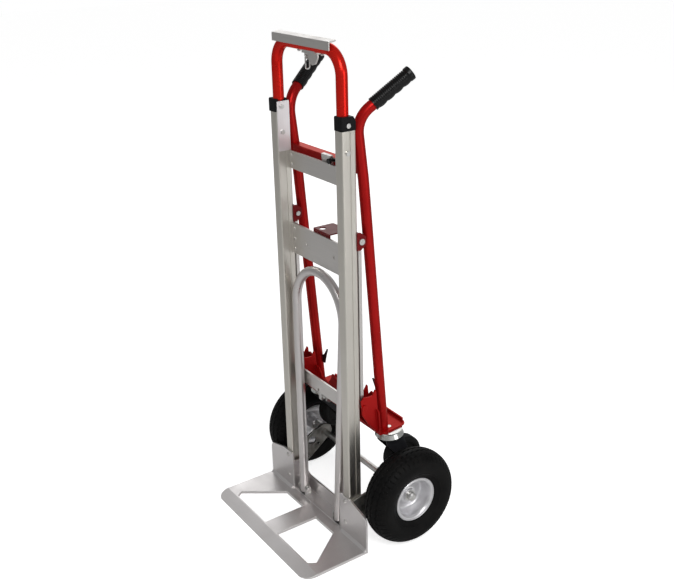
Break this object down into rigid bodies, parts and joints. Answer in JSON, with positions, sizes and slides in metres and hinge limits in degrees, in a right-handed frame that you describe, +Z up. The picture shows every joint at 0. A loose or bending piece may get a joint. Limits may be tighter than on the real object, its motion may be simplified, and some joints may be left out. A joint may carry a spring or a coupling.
{
  "type": "convertible hand truck",
  "caption": "Convertible hand truck: rails on a toe plate, air wheels, fold-down nose loop and a red rear frame with swivel casters that swings over to make a four-wheel cart.",
  "frame": {"origin": "underside of the toe plate, midway between the rails and level with their front faces", "axes": "+X across the truck to the right seen from the front, -Y forward over the toe plate, +Z up along the rails"},
  "size_m": [0.548, 0.442, 1.2501],
  "materials": {
    "rail_aluminium": "extruded, bare, lightly scuffed",
    "black_moulding": "moulded, matt",
    "red_paint": "gloss powder coat",
    "dark_red_paint": "satin powder coat",
    "plain_steel": "zinc plated",
    "satin_aluminium": "satin",
    "polished_aluminium": "polished",
    "cast_aluminium": "sand cast, matt",
    "tyre_rubber": "black rubber",
    "grey_rim": "silver-grey enamel",
    "black_rubber": "matt",
    "caster_tread": "hard rubber, matt",
    "black_paint": "satin black",
    "zinc_plate": "bright zinc plated"
  },
  "bodies": {
    "main_frame": {"rail_left": "rail_aluminium", "rail_right": "rail_aluminium", "rail_caps": "black_moulding", "handle_loop": "red_paint", "handle_plates": "satin_aluminium", "handle_bolts": "plain_steel", "handle_cover": "satin_aluminium", "cover_screws": "plain_steel", "ring_bracket": "satin_aluminium", "upper_cross_plate": "satin_aluminium", "middle_cross_plate": "satin_aluminium", "lower_cross_bar": "satin_aluminium", "cross_plate_rivets": "satin_aluminium", "catch_bracket": "dark_red_paint", "nose_lock_barrel": "plain_steel", "toe_plate": "polished_aluminium", "toe_bolts": "satin_aluminium", "axle_bracket_left": "cast_aluminium", "axle_bracket_right": "cast_aluminium", "axle": "plain_steel", "axle_spacers": "plain_steel", "axle_washers": "plain_steel", "axle_end_caps": "plain_steel", "nose_lugs": "plain_steel", "nose_pins": "plain_steel", "arm_bracket_left": "dark_red_paint", "arm_bracket_right": "dark_red_paint", "arm_pins_upper": "plain_steel"},
    "pull_ring_body": {"pull_ring": "plain_steel"},
    "nose_lock_body": {"nose_lock_pin": "plain_steel"},
    "wheel_left_body": {"tyre_left": "tyre_rubber", "rim_left": "grey_rim", "wheel_hub_left": "grey_rim", "wheel_bearings_left": "plain_steel", "valve_left": "black_rubber"},
    "wheel_right_body": {"tyre_right": "tyre_rubber", "rim_right": "grey_rim", "wheel_hub_right": "grey_rim", "wheel_bearings_right": "plain_steel", "valve_right": "black_rubber"},
    "nose_extension": {"nose_loop": "satin_aluminium", "nose_feet": "black_rubber"},
    "swing_arms": {"arm_left": "satin_aluminium", "arm_right": "satin_aluminium"},
    "rear_frame": {"rear_tubes": "dark_red_paint", "rear_cross_bar": "dark_red_paint", "caster_shelf": "dark_red_paint", "shelf_claws": "black_paint", "grip_left": "black_rubber", "grip_right": "black_rubber", "latch_housing": "plain_steel", "caster_heads": "zinc_plate", "arm_pins_lower": "dark_red_paint"},
    "latch_bolt_body": {"latch_bolt": "black_rubber"},
    "caster_left": {"caster_fork_left": "black_paint", "caster_axle_left": "zinc_plate"},
    "caster_right": {"caster_fork_right": "black_paint", "caster_axle_right": "zinc_plate"},
    "caster_wheel_left_body": {"caster_wheel_left": "caster_tread"},
    "caster_wheel_right_body": {"caster_wheel_right": "caster_tread"}
  },
  "joints": [
    {"name": "wheel_left_spin", "type": "hinge", "parent": "main_frame", "child": "wheel_left_body", "pos_m": [-0.232, 0.127, 0.127], "axis": [1, 0, 0], "continuous": true},
    {"name": "wheel_right_spin", "type": "hinge", "parent": "main_frame", "child": "wheel_right_body", "pos_m": [0.232, 0.127, 0.127], "axis": [1, 0, 0], "continuous": true},
    {"name": "arm_swing", "type": "hinge", "parent": "main_frame", "child": "swing_arms", "pos_m": [0, 0.046, 0.802], "axis": [1, 0, 0], "range_deg": [0, 180]},
    {"name": "rear_frame_tilt", "type": "hinge", "parent": "swing_arms", "child": "rear_frame", "pos_m": [0, 0.04598, 0.36927], "axis": [1, 0, 0], "range_deg": [-94.5, 0]},
    {"name": "nose_fold", "type": "hinge", "parent": "main_frame", "child": "nose_extension", "pos_m": [0, 0.011, 0.026], "axis": [1, 0, 0], "range_deg": [0, 90]},
    {"name": "nose_lock_slide", "type": "slide", "parent": "main_frame", "child": "nose_lock_body", "axis": [-1, 0, 0], "range_m": [0, 0.007]},
    {"name": "ring_swing", "type": "hinge", "parent": "main_frame", "child": "pull_ring_body", "pos_m": [0, 0.015, 1.206], "axis": [0, 1, 0], "range_deg": [-30, 80]},
    {"name": "latch_slide", "type": "slide", "parent": "rear_frame", "child": "latch_bolt_body", "axis": [1, 0, 0], "range_m": [0, 0.006]},
    {"name": "caster_left_swivel", "type": "hinge", "parent": "rear_frame", "child": "caster_left", "pos_m": [-0.15, 0.12698, 0.28336], "axis": [0, 0.0785, -0.9969], "range_deg": [-5, 90]},
    {"name": "caster_right_swivel", "type": "hinge", "parent": "rear_frame", "child": "caster_right", "pos_m": [0.15, 0.12698, 0.28336], "axis": [0, -0.0785, 0.9969], "range_deg": [-5, 90]},
    {"name": "caster_left_spin", "type": "hinge", "parent": "caster_left", "child": "caster_wheel_left_body", "pos_m": [-0.15, 0.16825, 0.19232], "axis": [1, 0, 0], "continuous": true},
    {"name": "caster_right_spin", "type": "hinge", "parent": "caster_right", "child": "caster_wheel_right_body", "pos_m": [0.15, 0.16825, 0.19232], "axis": [1, 0, 0], "continuous": true}
  ],
  "couplings": [
    {"joint": "rear_frame_tilt", "follows": "arm_swing", "ratio": -0.525}
  ]
}
